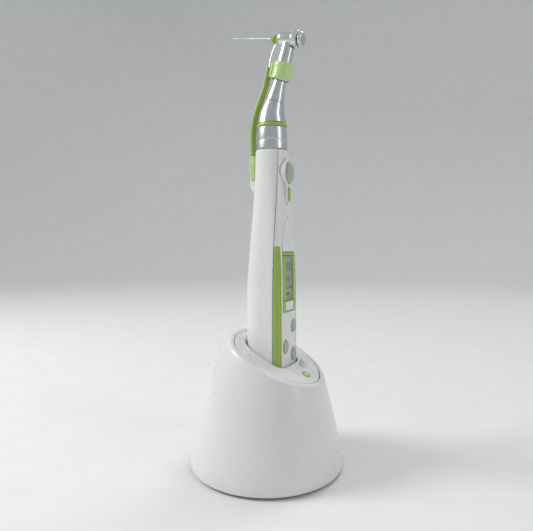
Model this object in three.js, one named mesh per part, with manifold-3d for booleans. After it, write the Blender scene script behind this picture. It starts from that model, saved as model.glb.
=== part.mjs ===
// Endodontic motor standing in its charging dock. Millimetres, +Z up.
// Origin: centre of the dock's footprint, on the surface it stands on.
// +X is the display side of the handpiece; the file points towards -X.
import * as THREE from "three";
import { mergeVertices } from "three/addons/utils/BufferGeometryUtils.js";
import Module from "manifold-3d";

const wasm = await Module();
wasm.setup();

// ---- Driving dimensions ----
const GAP = 0.3; // clearance between pieces that meet
const SIDES = 32; // sides of the handle's section

// Dock
const DOCK_OUTLINE = [ // radius, height up the outside of the dome
  [36.5, 1.2], [36.2, 6], [34.6, 15], [32.0, 25.6], [29.1, 37.6],
  [26.8, 45.1], [23.8, 53.3], [21.1, 58.5], [16.7, 62.3],
];
const DOCK_CROWN = 66;
const DOCK_WALL = 2.2;
const SLOPE_HEIGHT = 55.0; // height of the sloping face on the dock's axis
const SLOPE = Math.atan(0.495); // fall of the sloping face towards +X
const TOP_PLATE = 2.3;
const WELL_FLOOR = 9.4;
const FLOOR_THICK = 1.5;
const WELL_CLEARANCE = 0.5;
const WELL_WALL = 1.6;
const BASE_BOTTOM = 1.5;
const BASE_TOP = 3.5;
const FOOT_OFFSET = 19.5;
const INLET_HEIGHT = 14;
const PIN_OFFSET = 4; // charge pins stand either side of the middle
const LENS_X = 21;

// Handle: height, back, front, half width, squareness of the front
const HANDLE_X = 3;
const HANDLE = [
  [10, -8.5, 12.4, 10.75, 5.0], [60, -8.7, 12.4, 10.75, 5.0],
  [85, -8.8, 12.3, 10.7, 5.0], [94, -8.2, 12.2, 10.4, 4.8],
  [103, -7.4, 12.0, 10.0, 4.3], [111, -6.8, 11.7, 9.5, 3.7],
  [120, -6.0, 11.4, 8.95, 3.1], [132, -5.1, 11.0, 8.2, 2.6],
  [141, -4.8, 10.8, 7.8, 2.3], [150, -4.6, 10.6, 7.6, 2.1],
];
const BACK_SQUARENESS = 2.3;
const HANDLE_BOTTOM = 12;
const HANDLE_TOP = 150;
const HANDLE_WALL = 1.5;
const SEAM_X = 8.9; // joint between the rear shell and the front cover
const STRIP_Y = 8.1; // inner edge of the corner strips
const STRIP_BOTTOM = 14;
const STRIP_TOP = 104;
const PANEL = { half: 6.5, bottom: 73.5, shoulder: 102, top: 118.3, proud: 0.2, depth: 1.3 };
const SCREEN = { half: 3.5, bottom: 79.7, top: 99 };
const BUTTONS = [["upper", 4.2, 66.2], ["middle", -4.2, 57.4], ["lower", 4.2, 52.8]]; // name, y, z
const BUTTON_HALF = { y: 2.4, z: 3.1 };
const SWITCH = { z: 139.2, halfY: 4.9, halfZ: 6.3, tailHalf: 2.6, tailBottom: 124.6 };

// Contra-angle
const NECK_TILT = THREE.MathUtils.degToRad(15.5);
const NECK_START = [HANDLE_X, 168]; // where the axis bends: x, z
const NECK_LENGTH = 35.6; // from the bend to the head's axis
const FILE_RISE = THREE.MathUtils.degToRad(12); // the file climbs towards its tip
const SLEEVE = { bottom: 150.3, top: 161, bottomRadius: 7.55, topRadius: 7.2, bore: 6.1 };
const BLADE_TIP = 33.2; // distance of the tip from the neck's axis
const STRAP_HALF = 2.0; // half width of the electrode's strap

// ---- Materials ----
const finish = (color, roughness, metalness = 0) =>
  new THREE.MeshStandardMaterial({ color, roughness, metalness });
const WHITE = finish(0xf1f1ee, 0.3);
const GREEN = finish(0x9bb84b, 0.35);
const KEY = finish(0xc4c9c0, 0.4);
const STEEL = finish(0xb9bcc0, 0.3, 1);
const DARK = finish(0x2b2e30, 0.45);
const GLASS = finish(0x20262a, 0.1);
const RUBBER = finish(0x36383a, 0.8);
const GOLD = finish(0xc9a85a, 0.3, 1);
const BOARD = finish(0x2f6b45, 0.5);
const CLEAR_GREEN = finish(0xc9dfae, 0.3);
const BLUE = finish(0x4d78b8, 0.7);

// ---- Solids ----
function solidOf(geometry) {
  const bare = geometry.clone();
  for (const name of Object.keys(bare.attributes)) if (name !== "position") bare.deleteAttribute(name);
  const merged = mergeVertices(bare, 1e-4);
  return new wasm.Manifold(new wasm.Mesh({
    numProp: 3,
    vertProperties: merged.attributes.position.array,
    triVerts: new Uint32Array(merged.index.array),
  }));
}

function geometryOf(solid) {
  const mesh = solid.getMesh();
  const geometry = new THREE.BufferGeometry();
  geometry.setAttribute("position", new THREE.BufferAttribute(mesh.vertProperties, 3));
  geometry.setIndex(new THREE.BufferAttribute(mesh.triVerts, 1));
  geometry.computeVertexNormals();
  return geometry;
}

const cut = (body, ...tools) =>
  geometryOf(tools.reduce((left, tool) => left.subtract(solidOf(tool)), solidOf(body)));
const join = (body, ...others) =>
  geometryOf(others.reduce((sum, other) => sum.add(solidOf(other)), solidOf(body)));
const keep = (body, region) => geometryOf(solidOf(body).intersect(solidOf(region)));

// A block between two corners.
function block(x0, x1, y0, y1, z0, z1) {
  return new THREE.BoxGeometry(x1 - x0, y1 - y0, z1 - z0)
    .translate((x0 + x1) / 2, (y0 + y1) / 2, (z0 + z1) / 2);
}

// A solid turned about Z from radius, height points that start and end on the axis or close on themselves.
function turned(points, sides = 24) {
  const lathe = new THREE.LatheGeometry(points.map(([r, z]) => new THREE.Vector2(r, z)), sides);
  return lathe.rotateX(Math.PI / 2);
}
const rod = (radius, z0, z1, sides = 20) => turned([[0, z0], [radius, z0], [radius, z1], [0, z1]], sides);
const tube = (outer, inner, z0, z1, sides = 24) =>
  turned([[inner, z0], [outer, z0], [outer, z1], [inner, z1], [inner, z0]], sides);

// A solid through rings: each has a centre x, z, a tilt about Y and a radius for every direction.
function loft(rings, sides = SIDES) {
  const spans = rings.length - 1;
  const shape = new THREE.CylinderGeometry(1, 1, 1, sides, spans).rotateX(Math.PI / 2);
  const place = shape.attributes.position;
  for (let i = 0; i < place.count; i++) {
    const ring = rings[Math.round((place.getZ(i) + 0.5) * spans)];
    const turn = Math.atan2(place.getY(i), place.getX(i));
    const reach = Math.hypot(place.getX(i), place.getY(i)) * ring.radius(turn);
    const across = reach * Math.cos(turn);
    place.setXYZ(i, ring.x + across * Math.cos(ring.tilt), reach * Math.sin(turn),
      ring.z - across * Math.sin(ring.tilt));
  }
  return shape;
}

// A flat outline in the Y, Z plane, given thickness from x0 to x1.
function platedX(shape, x0, x1, curveSegments = 8) {
  const plate = new THREE.ExtrudeGeometry(shape, { depth: x1 - x0, bevelEnabled: false, curveSegments });
  return plate.rotateX(Math.PI / 2).rotateZ(Math.PI / 2).translate(x0, 0, 0);
}

// A flat outline in the X, Z plane, given thickness about y = 0.
function platedY(shape, halfWidth) {
  const plate = new THREE.ExtrudeGeometry(shape,
    { depth: 2 * halfWidth, bevelEnabled: false, curveSegments: 4 });
  return plate.rotateX(Math.PI / 2).translate(0, halfWidth, 0);
}

function ellipseShape(y, z, halfY, halfZ) {
  const shape = new THREE.Shape();
  shape.absellipse(y, z, halfY, halfZ, 0, 2 * Math.PI);
  return shape;
}

// A spur wheel about Z.
function gear(teeth, root, tip, z0, z1) {
  const step = (2 * Math.PI) / teeth;
  const points = [];
  for (let i = 0; i < teeth; i++) {
    for (const [part, radius] of [[0.1, root], [0.32, tip], [0.58, tip], [0.8, root]]) {
      const turn = (i + part) * step;
      points.push(new THREE.Vector2(radius * Math.cos(turn), radius * Math.sin(turn)));
    }
  }
  return new THREE.ExtrudeGeometry(new THREE.Shape(points), { depth: z1 - z0, bevelEnabled: false })
    .translate(0, 0, z0);
}

// ---- Assembly ----
const motor = new THREE.Group();

function add(name, geometry, material, parent = motor) {
  const mesh = new THREE.Mesh(geometry, material);
  mesh.name = name;
  parent.add(mesh);
  return mesh;
}

// ---- Handle section ----
function handleAt(z) {
  const upper = Math.max(1, HANDLE.findIndex((row) => row[0] >= z));
  const [low, high] = [HANDLE[upper - 1], HANDLE[upper]];
  const t = THREE.MathUtils.clamp((z - low[0]) / (high[0] - low[0]), 0, 1);
  return low.map((value, i) => THREE.MathUtils.lerp(value, high[i], t));
}

function handleRing(z, grow = 0, scale = 1) {
  const [, back, front, half, squareness] = handleAt(z);
  const radius = (turn) => {
    const ahead = Math.cos(turn) > 0;
    const depth = (ahead ? front - HANDLE_X : HANDLE_X - back) * scale + grow;
    const power = ahead ? squareness : BACK_SQUARENESS;
    const reach = Math.abs(Math.cos(turn) / depth) ** power
      + Math.abs(Math.sin(turn) / (half * scale + grow)) ** power;
    return reach ** (-1 / power);
  };
  return { x: HANDLE_X, z, tilt: 0, radius };
}

function handleLoft(bottom, top, grow) {
  const between = HANDLE.map((row) => row[0]).filter((z) => z > bottom && z < top);
  return loft([bottom, ...between, top].map((z) => handleRing(z, grow)));
}

// ---- Dock ----
function dockDome(inset, bottom) {
  const side = new THREE.SplineCurve(DOCK_OUTLINE.map(([r, z]) => new THREE.Vector2(r, z)));
  const outline = side.getPoints(9).map((p) => [p.x - inset, Math.max(p.y, bottom)]);
  return turned([[0, bottom], ...outline, [0, DOCK_CROWN - inset]], 40);
}

// The layer between two depths measured square to the sloping face.
function slopeLayer(low, high) {
  return new THREE.BoxGeometry(120, 120, high - low)
    .translate(0, 0, (low + high) / 2).rotateY(SLOPE).translate(0, 0, SLOPE_HEIGHT);
}
const slopeAt = (x) => SLOPE_HEIGHT - x * Math.tan(SLOPE);

function buildDock() {
  const inletHole = rod(4.3, 0, 20).rotateY(-Math.PI / 2).translate(-25, 0, INLET_HEIGHT);
  add("dock_shell", cut(dockDome(0, 1.2), dockDome(DOCK_WALL, 0.5), slopeLayer(0, 60), inletHole), WHITE);

  const lug = block(14.2, 17.6, 4.6, 9.0, 40, slopeAt(14.2) + 3.4);
  const lensSeat = rod(1.9, -10, 10, 16).rotateY(SLOPE).translate(LENS_X, 0, slopeAt(LENS_X));
  const plate = cut(keep(dockDome(DOCK_WALL + GAP + 0.1, 20), slopeLayer(-TOP_PLATE, 0)),
    handleLoft(20, 80, WELL_CLEARANCE + 0.2), lensSeat);
  const lugTop = cut(lug, slopeLayer(-60, -TOP_PLATE + 0.2));
  add("dock_top_plate", join(plate, lugTop), WHITE);
  const lens = rod(1.6, -2.6, 0.3, 16).rotateY(SLOPE).translate(LENS_X, 0, slopeAt(LENS_X));
  add("dock_indicator_lens", lens, CLEAR_GREEN);

  const pinHoles = [-1, 1].map((side) => rod(1.2, 0, 20, 12).translate(HANDLE_X, side * PIN_OFFSET, 0));
  add("dock_well_liner", cut(handleLoft(WELL_FLOOR - FLOOR_THICK, 70, WELL_CLEARANCE + WELL_WALL),
    handleLoft(WELL_FLOOR, 80, WELL_CLEARANCE), slopeLayer(-TOP_PLATE - GAP, 60), ...pinHoles), DARK);

  const corners = [[1, 1], [-1, 1], [-1, -1], [1, -1]].map(([i, j]) => [i * FOOT_OFFSET, j * FOOT_OFFSET]);
  const footHoles = corners.map(([x, y]) => rod(1.8, 0, 8, 12).translate(x, y, 0));
  add("dock_base_plate", cut(rod(33.8, BASE_BOTTOM, BASE_TOP, 48), ...footHoles), DARK);
  corners.forEach(([x, y], i) => {
    const foot = turned([[0, 0], [3.6, 0], [4, 0.4], [4, 1.2], [1.5, 1.2], [1.5, 3.2], [0, 3.2]], 20);
    add(`dock_foot_${i + 1}`, foot, RUBBER).position.set(x, y, 0);
  });
  const ballastHoles = [cutout(HANDLE_X, 0, 11), cutout(-26, 0, 7)];
  add("dock_ballast_plate", cut(rod(30, BASE_TOP + GAP, 6.8, 40), ...ballastHoles), STEEL);

  const holder = block(HANDLE_X - 3, HANDLE_X + 3, -7.5, 7.5, BASE_TOP + GAP, 7.5);
  add("charge_pin_holder", cut(holder, ...pinHoles), DARK);
  for (const [name, side] of [["left", -1], ["right", 1]]) {
    const pin = turned([[0, 5], [0.85, 5], [0.85, 9.5], [0.5, 9.9], [0, 9.9]], 12);
    add(`charge_pin_${name}`, pin, GOLD).position.set(HANDLE_X, side * PIN_OFFSET, 0);
  }
  add("dock_circuit_board", block(-31, -16, -11, 11, 7.2, 8.8), BOARD);
  const socket = join(block(-30, -20, -5, 5, 9.1, 18.8),
    rod(4, 0, 5, 20).rotateY(-Math.PI / 2).translate(-29.9, 0, INLET_HEIGHT));
  const bore = rod(2.75, 0, 13, 16).rotateY(-Math.PI / 2).translate(-22.5, 0, INLET_HEIGHT);
  const bored = cut(socket, bore);
  const centrePin = rod(0.9, 0, 10.5, 10).rotateY(-Math.PI / 2).translate(-22, 0, INLET_HEIGHT);
  add("dock_power_inlet", join(bored, centrePin), DARK);
}

function cutout(x, y, radius) {
  return rod(radius, 0, 12, 24).translate(x, y, 0);
}

// ---- Handpiece ----
function panelShape(inset) {
  const half = PANEL.half + inset;
  const shape = new THREE.Shape();
  shape.moveTo(-half, PANEL.bottom - inset);
  shape.lineTo(half, PANEL.bottom - inset);
  shape.lineTo(half, PANEL.shoulder);
  shape.bezierCurveTo(half, PANEL.shoulder + 8, 2.6, PANEL.top + inset, 0, PANEL.top + inset);
  shape.bezierCurveTo(-2.6, PANEL.top + inset, -half, PANEL.shoulder + 8, -half, PANEL.shoulder);
  return shape;
}

// The oval of the main switch with its narrower tail below.
function switchShape(inset) {
  const tail = SWITCH.tailHalf - inset;
  const bottom = SWITCH.tailBottom + inset;
  const oval = platedX(ellipseShape(0, SWITCH.z, SWITCH.halfY - inset, SWITCH.halfZ - inset), 0, 20, 12);
  const stem = block(0, 20, -tail, tail, bottom + tail, SWITCH.z);
  const end = platedX(ellipseShape(0, bottom + tail, tail, tail), 0, 20, 8);
  return join(oval, stem, end);
}
const layerX = (solid, x0, x1) => keep(solid, block(x0, x1, -40, 40, 0, 220));

function buildHandpiece() {
  const skin = cut(handleLoft(HANDLE_BOTTOM, HANDLE_TOP, 0), handleLoft(5, 155, -HANDLE_WALL));
  const socketHole = rod(1.2, 0, 8, 12).rotateY(-Math.PI / 2).translate(0, 0, 134);
  add("handle_rear_shell", cut(layerX(skin, -20, SEAM_X - GAP / 2), socketHole), WHITE);

  const stripRoom = [-1, 1].map((side) => {
    const reach = [side * (STRIP_Y - GAP), side * 20];
    return block(0, 20, Math.min(...reach), Math.max(...reach), 5, STRIP_TOP + GAP);
  });
  const buttonRoom = BUTTONS.map(([, y, z]) =>
    platedX(ellipseShape(y, z, BUTTON_HALF.y + GAP, BUTTON_HALF.z + GAP), 5, 20, 8));
  add("handle_front_cover", cut(layerX(skin, SEAM_X + GAP / 2, 20), ...stripRoom, ...buttonRoom,
    platedX(panelShape(GAP), 0, 20, 6), switchShape(-GAP)), WHITE);
  for (const [name, side] of [["left", -1], ["right", 1]]) {
    const region = block(SEAM_X + GAP / 2, 20, Math.min(side * STRIP_Y, side * 20),
      Math.max(side * STRIP_Y, side * 20), STRIP_BOTTOM, STRIP_TOP);
    add(`accent_strip_${name}`, keep(skin, region), GREEN);
  }

  const endRings = [[10, 0.93], [10.7, 0.98], [11.7, 0.98], [11.7, 0.8], [15, 0.8]];
  const endCap = loft(endRings.map(([z, scale]) => ({ ...handleRing(12, 0, scale), z })));
  const contactHoles = [-1, 1].map((side) => rod(2.3, 0, 20, 16).translate(HANDLE_X, side * PIN_OFFSET, 0));
  add("handle_end_cap", cut(endCap, ...contactHoles), WHITE);
  for (const [name, side] of [["left", -1], ["right", 1]]) {
    const contact = rod(2, 10.2, 15.6, 16).translate(HANDLE_X, side * PIN_OFFSET, 0);
    add(`charge_contact_${name}`, contact, GOLD);
  }

  const screenRoom = block(0, 20, -SCREEN.half - GAP, SCREEN.half + GAP,
    SCREEN.bottom - GAP, SCREEN.top + GAP);
  const panel = keep(handleLoft(60, 130, PANEL.proud), platedX(panelShape(0), 0, 20, 6));
  add("display_frame", cut(panel, handleLoft(50, 140, -PANEL.depth), screenRoom), GREEN);
  add("display_window", block(11.2, 12.0, -SCREEN.half, SCREEN.half, SCREEN.bottom, SCREEN.top), GLASS);
  add("display_module", block(9.2, 10.0, -5.5, 5.5, 77, 101), DARK);
  for (const [name, y, z] of BUTTONS) {
    const cap = platedX(ellipseShape(y, z, BUTTON_HALF.y, BUTTON_HALF.z), 9.5, 13, 8);
    const flange = platedX(ellipseShape(y, z, BUTTON_HALF.y + 0.5, BUTTON_HALF.z + 0.7), 9.3, 9.9, 8);
    add(`control_button_${name}`, join(cap, flange), KEY);
  }
  const button = platedX(ellipseShape(0, SWITCH.z, SWITCH.halfY - 1.3, SWITCH.halfZ - 1.3), 9.9, 13.6, 12);
  const strip = layerX(keep(switchShape(1.1), block(0, 20, -10, 10, 120, 132.2)), 10.4, 12.4);
  const surroundHoles = [
    platedX(ellipseShape(0, SWITCH.z, SWITCH.halfY - 1, SWITCH.halfZ - 1), 5, 20, 12),
    keep(switchShape(0.8), block(0, 20, -10, 10, 120, 132.5)),
  ];
  add("switch_surround", cut(layerX(switchShape(0), 9.6, 12.2), ...surroundHoles), WHITE);
  add("main_switch_button", button, KEY);
  add("status_light_strip", strip, GREEN);

  const fairing = new THREE.Shape();
  fairing.moveTo(-5.6, 128.5);
  fairing.quadraticCurveTo(-7.9, 131, -8.3, 136.2);
  fairing.lineTo(-5.2, 136.2);
  fairing.lineTo(-5.4, 131);
  const stem = rod(0.9, 0, 2.8, 12).rotateY(-Math.PI / 2).translate(-3, 0, 134);
  add("electrode_socket", join(platedY(fairing, 2.2), stem), CLEAR_GREEN);

  add("control_board", block(7.4, 8.6, -7.5, 7.5, 40, 94), BOARD);
  add("battery_cell", rod(6.5, 18, 68).translate(0.2, 0, 0), BLUE);
  const can = turned([[0, 96], [3, 96], [3, 97], [5.8, 97], [5.8, 122], [0, 122]]);
  add("drive_motor", can.translate(HANDLE_X, 0, 0), STEEL);
  add("gearhead", turned([[0, 122.3], [5.5, 122.3], [5.5, 140], [0, 140]]).translate(HANDLE_X, 0, 0), STEEL);
  add("nose_collar", tube(5.7, 3.2, 141, 159.7).translate(HANDLE_X, 0, 0), STEEL);
  const drive = cut(rod(1.7, 140.3, 158.5), block(-3, 3, -0.6, 0.6, 156.6, 160));
  add("output_shaft", drive.translate(HANDLE_X, 0, 0), STEEL);
}

// ---- Contra-angle ----
const round = (radius) => () => radius;

// A ring on the neck's axis, at a distance from the bend.
const neckRing = (distance, radius) => ({
  x: NECK_START[0] + distance * Math.sin(NECK_TILT),
  z: NECK_START[1] + distance * Math.cos(NECK_TILT),
  tilt: NECK_TILT,
  radius: round(radius),
});
const neckLoft = (rings) => loft(rings.map(([distance, radius]) => neckRing(distance, radius)), 24);
const onNeck = (geometry) => geometry.rotateY(NECK_TILT).translate(NECK_START[0], 0, NECK_START[1]);
const head = {
  x: NECK_START[0] + NECK_LENGTH * Math.sin(NECK_TILT),
  z: NECK_START[1] + NECK_LENGTH * Math.cos(NECK_TILT),
};
const onHead = (geometry) => geometry.rotateY(FILE_RISE - Math.PI / 2).translate(head.x, 0, head.z);

function buildContraAngle() {
  const sleeve = turned([[SLEEVE.bore, SLEEVE.bottom], [SLEEVE.bottomRadius, SLEEVE.bottom],
    [SLEEVE.topRadius, SLEEVE.top], [3.2, SLEEVE.top], [3.2, 160], [SLEEVE.bore, 160],
    [SLEEVE.bore, SLEEVE.bottom]]);
  add("contra_sleeve", sleeve, STEEL).position.x = HANDLE_X;
  add("colour_ring", tube(7.3, 3.2, 161.3, 162.6), GREEN).position.x = HANDLE_X;

  const coneRings = [
    { x: HANDLE_X, z: 162.9, tilt: 0, radius: round(7.05) },
    { x: HANDLE_X, z: 165.8, tilt: NECK_TILT * 0.15, radius: round(6.6) },
    { x: HANDLE_X + 0.35, z: 169.2, tilt: NECK_TILT * 0.6, radius: round(5.75) },
    neckRing(5.7, 4.65),
  ];
  add("contra_cone", cut(loft(coneRings, 24), rod(3.2, 160, 168, 24).translate(HANDLE_X, 0, 0),
    onNeck(rod(3.1, -1.5, 8, 24))), STEEL);
  const neckBore = onNeck(rod(1.9, 0, NECK_LENGTH, 16));
  add("neck_lower", cut(neckLoft([[6, 4.55], [9, 4.0], [12, 3.4], [15.5, 3.1]]), neckBore), STEEL);

  const housing = onHead(turned([[0, -4.1], [3.4, -4.1], [3.4, -2], [3.75, -1.8], [3.75, 4.1],
    [3.4, 4.9], [2.7, 5.3], [0, 5.3]], 28));
  const upperNeck = neckLoft([[15.8, 3.25], [18, 3.65], [24, 3.5], [31, 3.2], [NECK_LENGTH, 3.1]]);
  add("head_housing", cut(join(housing, upperNeck), neckBore, onHead(rod(3.1, -6, 4.9, 24)),
    onHead(rod(2.15, 4, 7, 24)), onHead(tube(4.45, 3.4, -6, -1.9, 28))), STEEL);
  const capRing = turned([[3.7, -2.2], [3.7, -4.4], [2.9, -4.4], [2.9, -4.8], [3.8, -4.8], [4.15, -4.4],
    [4.15, -2.4], [3.7, -2.2]], 28);
  add("head_cap_ring", onHead(capRing), STEEL);
  const cap = turned([[0, -7.15], [1.6, -7.1], [3.0, -6.9], [3.5, -6.4], [3.5, -5.4], [2.5, -5.3],
    [2.5, -4.3], [0, -4.3]], 28);
  add("push_button_cap", onHead(cap), STEEL);

  add("chuck_bearing_front", onHead(tube(2.8, 2.1, 3.4, 4.6)), STEEL);
  add("chuck_bearing_rear", onHead(tube(2.8, 2.1, -3.7, -2.9)), STEEL);
  const sleeveOfChuck = turned([[1.45, -2.0], [1.8, -2.0], [1.8, 5.5], [1.45, 5.5], [1.45, -2.0]], 20);
  const stub = turned([[0, -3.4], [1.8, -3.4], [1.8, -1.9], [0, -1.9]], 20);
  add("chuck_with_crown_gear", onHead(join(sleeveOfChuck, stub, gear(16, 2.3, 2.8, -2.6, -1.95))), STEEL);

  const dog = block(-1.25, 1.25, -0.3, 0.3, 156.9, 159);
  const rearShaft = join(rod(1.3, 158.9, 166), dog, gear(12, 2.1, 2.6, 165, 166.3));
  add("rear_drive_shaft", rearShaft, STEEL).position.x = HANDLE_X;
  const neckShaft = join(rod(1.1, -0.5, 33), gear(12, 2.1, 2.6, -0.5, 0.7), gear(8, 1.0, 1.35, 31.8, 33.3));
  add("neck_drive_shaft", onNeck(neckShaft), STEEL);
}

// ---- File and its stopper ----
function buildFile() {
  const shank = turned([[0, -1.5], [1.15, -1.5], [1.15, 5.75], [1.5, 5.9], [1.5, 7], [0.95, 7], [0.95, 5],
    [0, 5]], 16);
  add("file_shank", onHead(shank), GOLD);
  add("file_blade", onHead(turned([[0, 5.3], [0.62, 5.3], [0.62, 8.2], [0.13, BLADE_TIP - 0.3],
    [0, BLADE_TIP]], 12)), STEEL);
  add("file_stopper", onHead(tube(1.8, 0.95, 7.3, 9.3, 20)), GREEN);
}

// ---- Electrode of the apex locator, clipped along the file side ----
function buildElectrode() {
  const plug = new THREE.Shape();
  plug.moveTo(-5.2, 136.5);
  plug.lineTo(-8.3, 136.5);
  plug.lineTo(-8.3, 147.6);
  plug.lineTo(-7.6, 148.3);
  plug.lineTo(-5.4, 148.3);
  plug.lineTo(-5.2, 147.9);
  add("electrode_plug", platedY(plug, 2.4), CLEAR_GREEN);

  const outer = [[-8.3, 148.6], [-8.4, 160], [-7.3, 166.8], [-5.0, 173.6], [-2.4, 179.5], [-0.6, 184],
    [0.6, 189], [1.1, 191]];
  const inner = [[2.5, 190.6], [1.75, 187.4], [0.9, 183.4], [-0.6, 178.4], [-3.1, 172.8], [-5.2, 166.4],
    [-6.3, 160], [-6.2, 148.6]];
  const strap = new THREE.Shape();
  strap.moveTo(...outer[0]);
  strap.splineThru(outer.slice(1).map(([x, z]) => new THREE.Vector2(x, z)));
  strap.lineTo(...inner[0]);
  strap.splineThru(inner.slice(1).map(([x, z]) => new THREE.Vector2(x, z)));
  add("electrode_strap", platedY(strap, STRAP_HALF), GREEN);

  const clasp = cut(join(rod(4.7, 16.3, 24), block(-5.9, 0, -2.2, 2.2, 16.8, 23.5)), rod(4.0, 10, 30, 24));
  add("electrode_clip", onNeck(clasp), CLEAR_GREEN);

  const path = new THREE.CatmullRomCurve3([[1.9, 191.3], [2.3, 194.5], [3.6, 198.2], [5.9, 201.6]]
    .map(([x, z]) => new THREE.Vector3(x, 0, z)));
  const section = new THREE.Shape();
  section.absarc(0, 0, 0.45, 0, 2 * Math.PI);
  add("electrode_finger", new THREE.ExtrudeGeometry(section,
    { extrudePath: path, steps: 12, curveSegments: 4, bevelEnabled: false }), STEEL);
}

buildDock();
buildHandpiece();
buildContraAngle();
buildFile();
buildElectrode();

export default motor;
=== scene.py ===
import math

import bmesh
import bpy
import numpy as np
from mathutils import Matrix, Vector


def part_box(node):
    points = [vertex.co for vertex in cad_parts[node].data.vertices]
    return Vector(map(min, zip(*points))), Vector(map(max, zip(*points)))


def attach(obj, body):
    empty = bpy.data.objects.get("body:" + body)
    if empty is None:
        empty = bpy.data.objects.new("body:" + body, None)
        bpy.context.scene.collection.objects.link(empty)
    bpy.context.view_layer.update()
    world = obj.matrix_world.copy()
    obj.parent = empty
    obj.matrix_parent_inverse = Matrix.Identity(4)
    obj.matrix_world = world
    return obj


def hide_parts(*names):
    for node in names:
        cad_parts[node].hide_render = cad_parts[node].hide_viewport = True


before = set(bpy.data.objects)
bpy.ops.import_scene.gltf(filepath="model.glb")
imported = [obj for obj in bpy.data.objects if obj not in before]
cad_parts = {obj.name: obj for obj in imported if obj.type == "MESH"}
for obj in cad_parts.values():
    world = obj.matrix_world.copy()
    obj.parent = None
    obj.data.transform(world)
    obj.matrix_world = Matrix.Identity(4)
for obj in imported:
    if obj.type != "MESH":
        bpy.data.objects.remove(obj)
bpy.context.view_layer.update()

MM = 0.001
SKIN_GAP = 0.12  # half of the parting line between two mouldings
CREASE = 35.0  # degrees: edges sharper than this stay sharp
BISECTIONS = 40  # halvings when a place on a curve is searched for
AXIS_RADIUS = 0.004  # stands for zero where a profile meets its axis


def node_box(node):
    """The lowest and highest corner of a CAD node, in millimetres."""
    low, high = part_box(node)
    return [v / MM for v in low], [v / MM for v in high]


# ---- Driving dimensions, in millimetres ----
DOCK_OUTLINE = [
    (36.5, 1.2), (36.2, 6.0), (34.6, 15.0), (32.0, 25.6), (29.1, 37.6),
    (26.8, 45.1), (23.8, 53.3), (21.1, 58.5), (16.7, 62.3),
]
DOCK_WALL = 2.2
SLOPE_HEIGHT = 55.0
SLOPE = 0.495  # fall of the sloping face for each millimetre towards +X
RIM_ROUND = 1.1
WELL_EDGE = 0.75  # gap between the handle and the edge of the well
LENS_X = 21.0
LUG = {"x": 15.9, "y": 6.8, "half_y": 2.2, "half_x": 1.7}  # locating lug on the sloping face
INLET_HEIGHT = 14.0

HANDLE_X = 3.0
HANDLE = np.array([  # height, back, front, half width, squareness of the front
    [10, -8.5, 12.4, 10.75, 5.0], [60, -8.7, 12.4, 10.75, 5.0],
    [85, -8.8, 12.3, 10.7, 5.0], [94, -8.2, 12.2, 10.4, 4.8],
    [103, -7.4, 12.0, 10.0, 4.3], [111, -6.8, 11.7, 9.5, 3.7],
    [120, -6.0, 11.4, 8.95, 3.1], [132, -5.1, 11.0, 8.2, 2.6],
    [141, -4.8, 10.8, 7.8, 2.3], [150, -4.6, 10.6, 7.6, 2.1],
])
BACK_SQUARENESS = 2.3
HANDLE_BOTTOM, HANDLE_TOP = 12.0, 150.0
SEAM_X = 8.9
STRIP_Y = 7.95
STRIP_BOTTOM, STRIP_TOP = 14.0, 104.0
PANEL = {"half": 6.5, "bottom": 73.5, "shoulder": 102.0, "top": 118.3}
SCREEN = {"half": 3.5, "bottom": 79.7, "top": 99.0}
BUTTONS = {"upper": (4.2, 66.2), "middle": (-4.2, 57.4), "lower": (4.2, 52.8)}
BUTTON_HALF = (2.4, 3.1)
BUTTON_CLEARANCE = 0.2
SWITCH = {"z": 139.2, "half_y": 4.9, "half_z": 6.3, "tail": 2.6, "bottom": 124.6}

NECK_TILT = math.radians(15.5)
BEND_Z = 168.0
NECK_LENGTH = 35.6
FILE_RISE = math.radians(12.0)
BLADE_TIP = 33.2

# ---- Camera: level, a little round from the -Y side towards the display ----
VIEW_AZIMUTH = math.radians(28.0)
EYE_HEIGHT = 106.0
EYE_DISTANCE = 229.0
LENS = 31.8
VIEW_SHIFT = -0.043  # centres the object in the frame while the camera stays level


def make_camera():
    data = bpy.data.cameras.new("camera")
    data.lens = LENS
    data.shift_y = VIEW_SHIFT
    data.clip_start = 0.005
    data.clip_end = 20.0
    camera = bpy.data.objects.new("camera", data)
    bpy.context.scene.collection.objects.link(camera)
    camera.location = Vector((
        EYE_DISTANCE * math.sin(VIEW_AZIMUTH), -EYE_DISTANCE * math.cos(VIEW_AZIMUTH), EYE_HEIGHT)) * MM
    camera.rotation_euler = (math.pi / 2, 0, VIEW_AZIMUTH)
    bpy.context.scene.camera = camera


make_camera()


# ---- Materials ----
def shader(name, color, roughness, metallic=0.0, **extra):
    """A Principled material, and the handles that its detail is wired to."""
    material = bpy.data.materials.new(name)
    material.use_nodes = True
    nodes = material.node_tree.nodes
    principled = nodes["Principled BSDF"]
    principled.inputs["Base Color"].default_value = (*color, 1)
    principled.inputs["Roughness"].default_value = roughness
    principled.inputs["Metallic"].default_value = metallic
    for socket, value in extra.items():
        principled.inputs[socket.replace("_", " ")].default_value = value
    return material, nodes, material.node_tree.links, principled


def noise(nodes, links, scale, detail, stretch=(1, 1, 1)):
    """Noise in the object's own coordinates, with a number of cells for each metre."""
    place = nodes.new("ShaderNodeTexCoord")
    mapping = nodes.new("ShaderNodeMapping")
    mapping.inputs["Scale"].default_value = stretch
    texture = nodes.new("ShaderNodeTexNoise")
    texture.inputs["Scale"].default_value = scale
    texture.inputs["Detail"].default_value = detail
    links.new(place.outputs["Object"], mapping.inputs["Vector"])
    links.new(mapping.outputs["Vector"], texture.inputs["Vector"])
    return texture.outputs["Fac"]


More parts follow.
